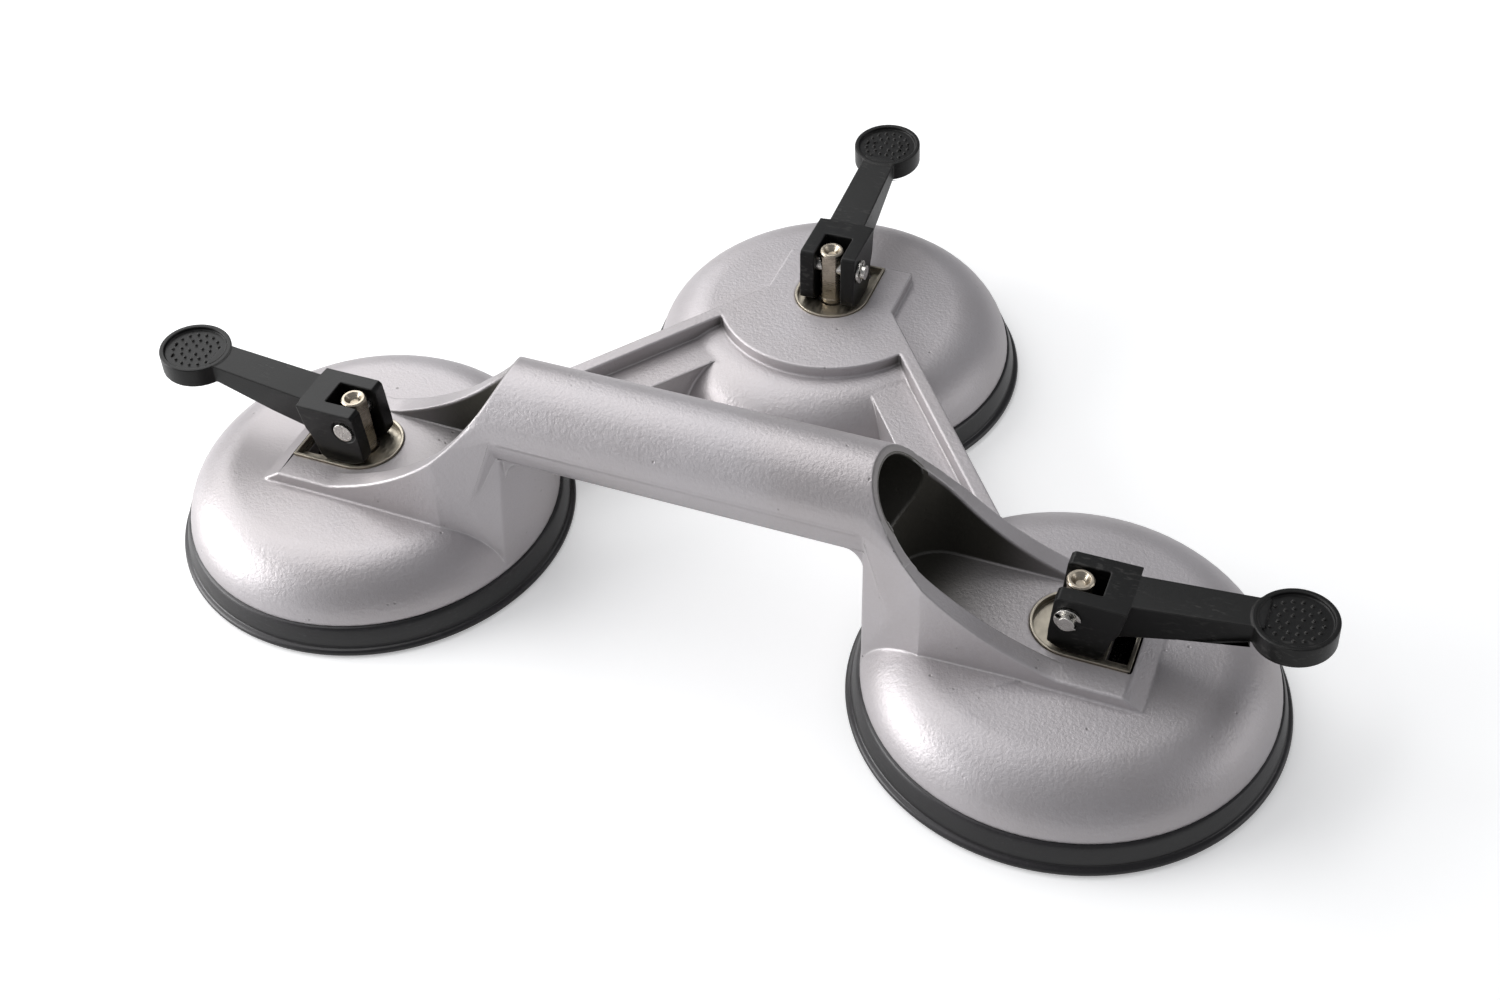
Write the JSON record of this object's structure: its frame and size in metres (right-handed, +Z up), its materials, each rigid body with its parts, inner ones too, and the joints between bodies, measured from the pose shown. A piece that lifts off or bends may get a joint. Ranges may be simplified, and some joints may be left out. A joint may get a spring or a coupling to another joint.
{
  "type": "vacuum suction cup lifter",
  "caption": "Cast aluminium hand lifter with vacuum suction cups set in a triangle, a tubular carrying handle and a black cam lever on each cup.",
  "frame": {"origin": "on the surface that the pads grip, at the middle of the part's footprint", "axes": "+X along the handle from the left cup to the right cup, +Y from the handle towards the single cup, +Z up, away from the gripped surface"},
  "size_m": [0.337, 0.2306, 0.0701],
  "materials": {
    "cast_aluminium": "silver-grey sprayed die casting with a fine grain",
    "pad_rubber": "smooth black rubber",
    "plated_steel": "zinc-plated steel",
    "stud_steel": "turned plated steel",
    "plate_steel": "pressed plated steel",
    "lever_plastic": "black moulded plastic"
  },
  "bodies": {
    "body": {"cast_body": "cast_aluminium", "rubber_pad_left": "pad_rubber", "rubber_pad_right": "pad_rubber", "rubber_pad_back": "pad_rubber", "wear_plate_left": "plate_steel", "wear_plate_right": "plate_steel", "wear_plate_back": "plate_steel"},
    "puller_left": {"stud_left": "stud_steel", "insert_plate_left": "plated_steel"},
    "puller_right": {"stud_right": "stud_steel", "insert_plate_right": "plated_steel"},
    "puller_back": {"stud_back": "stud_steel", "insert_plate_back": "plated_steel"},
    "cam_left": {"lever_left": "lever_plastic", "pivot_pin_left": "plated_steel", "e_clip_left": "plated_steel"},
    "cam_right": {"lever_right": "lever_plastic", "pivot_pin_right": "plated_steel", "e_clip_right": "plated_steel"},
    "cam_back": {"lever_back": "lever_plastic", "pivot_pin_back": "plated_steel", "e_clip_back": "plated_steel"}
  },
  "joints": [
    {"name": "pull_left", "type": "slide", "parent": "body", "child": "puller_left", "axis": [0, 0, 1], "range_m": [-0.004, 0], "deforming": ["rubber_pad_left"]},
    {"name": "pull_right", "type": "slide", "parent": "body", "child": "puller_right", "axis": [0, 0, 1], "range_m": [-0.004, 0], "deforming": ["rubber_pad_right"]},
    {"name": "pull_back", "type": "slide", "parent": "body", "child": "puller_back", "axis": [0, 0, 1], "range_m": [-0.004, 0], "deforming": ["rubber_pad_back"]},
    {"name": "lever_left_turn", "type": "hinge", "parent": "puller_left", "child": "cam_left", "pos_m": [-0.105, -0.05625, 0.039], "axis": [0, 1, 0], "range_deg": [0, 90]},
    {"name": "lever_right_turn", "type": "hinge", "parent": "puller_right", "child": "cam_right", "pos_m": [0.105, -0.05625, 0.039], "axis": [0, -1, 0], "range_deg": [0, 90]},
    {"name": "lever_back_turn", "type": "hinge", "parent": "puller_back", "child": "cam_back", "pos_m": [0, 0.05175, 0.039], "axis": [1, 0, 0], "range_deg": [0, 90]}
  ],
  "couplings": [
    {"joint": "pull_left", "follows": "lever_left_turn", "m_per_rad": -0.0025465},
    {"joint": "pull_right", "follows": "lever_right_turn", "m_per_rad": -0.0025465},
    {"joint": "pull_back", "follows": "lever_back_turn", "m_per_rad": -0.0025465}
  ]
}
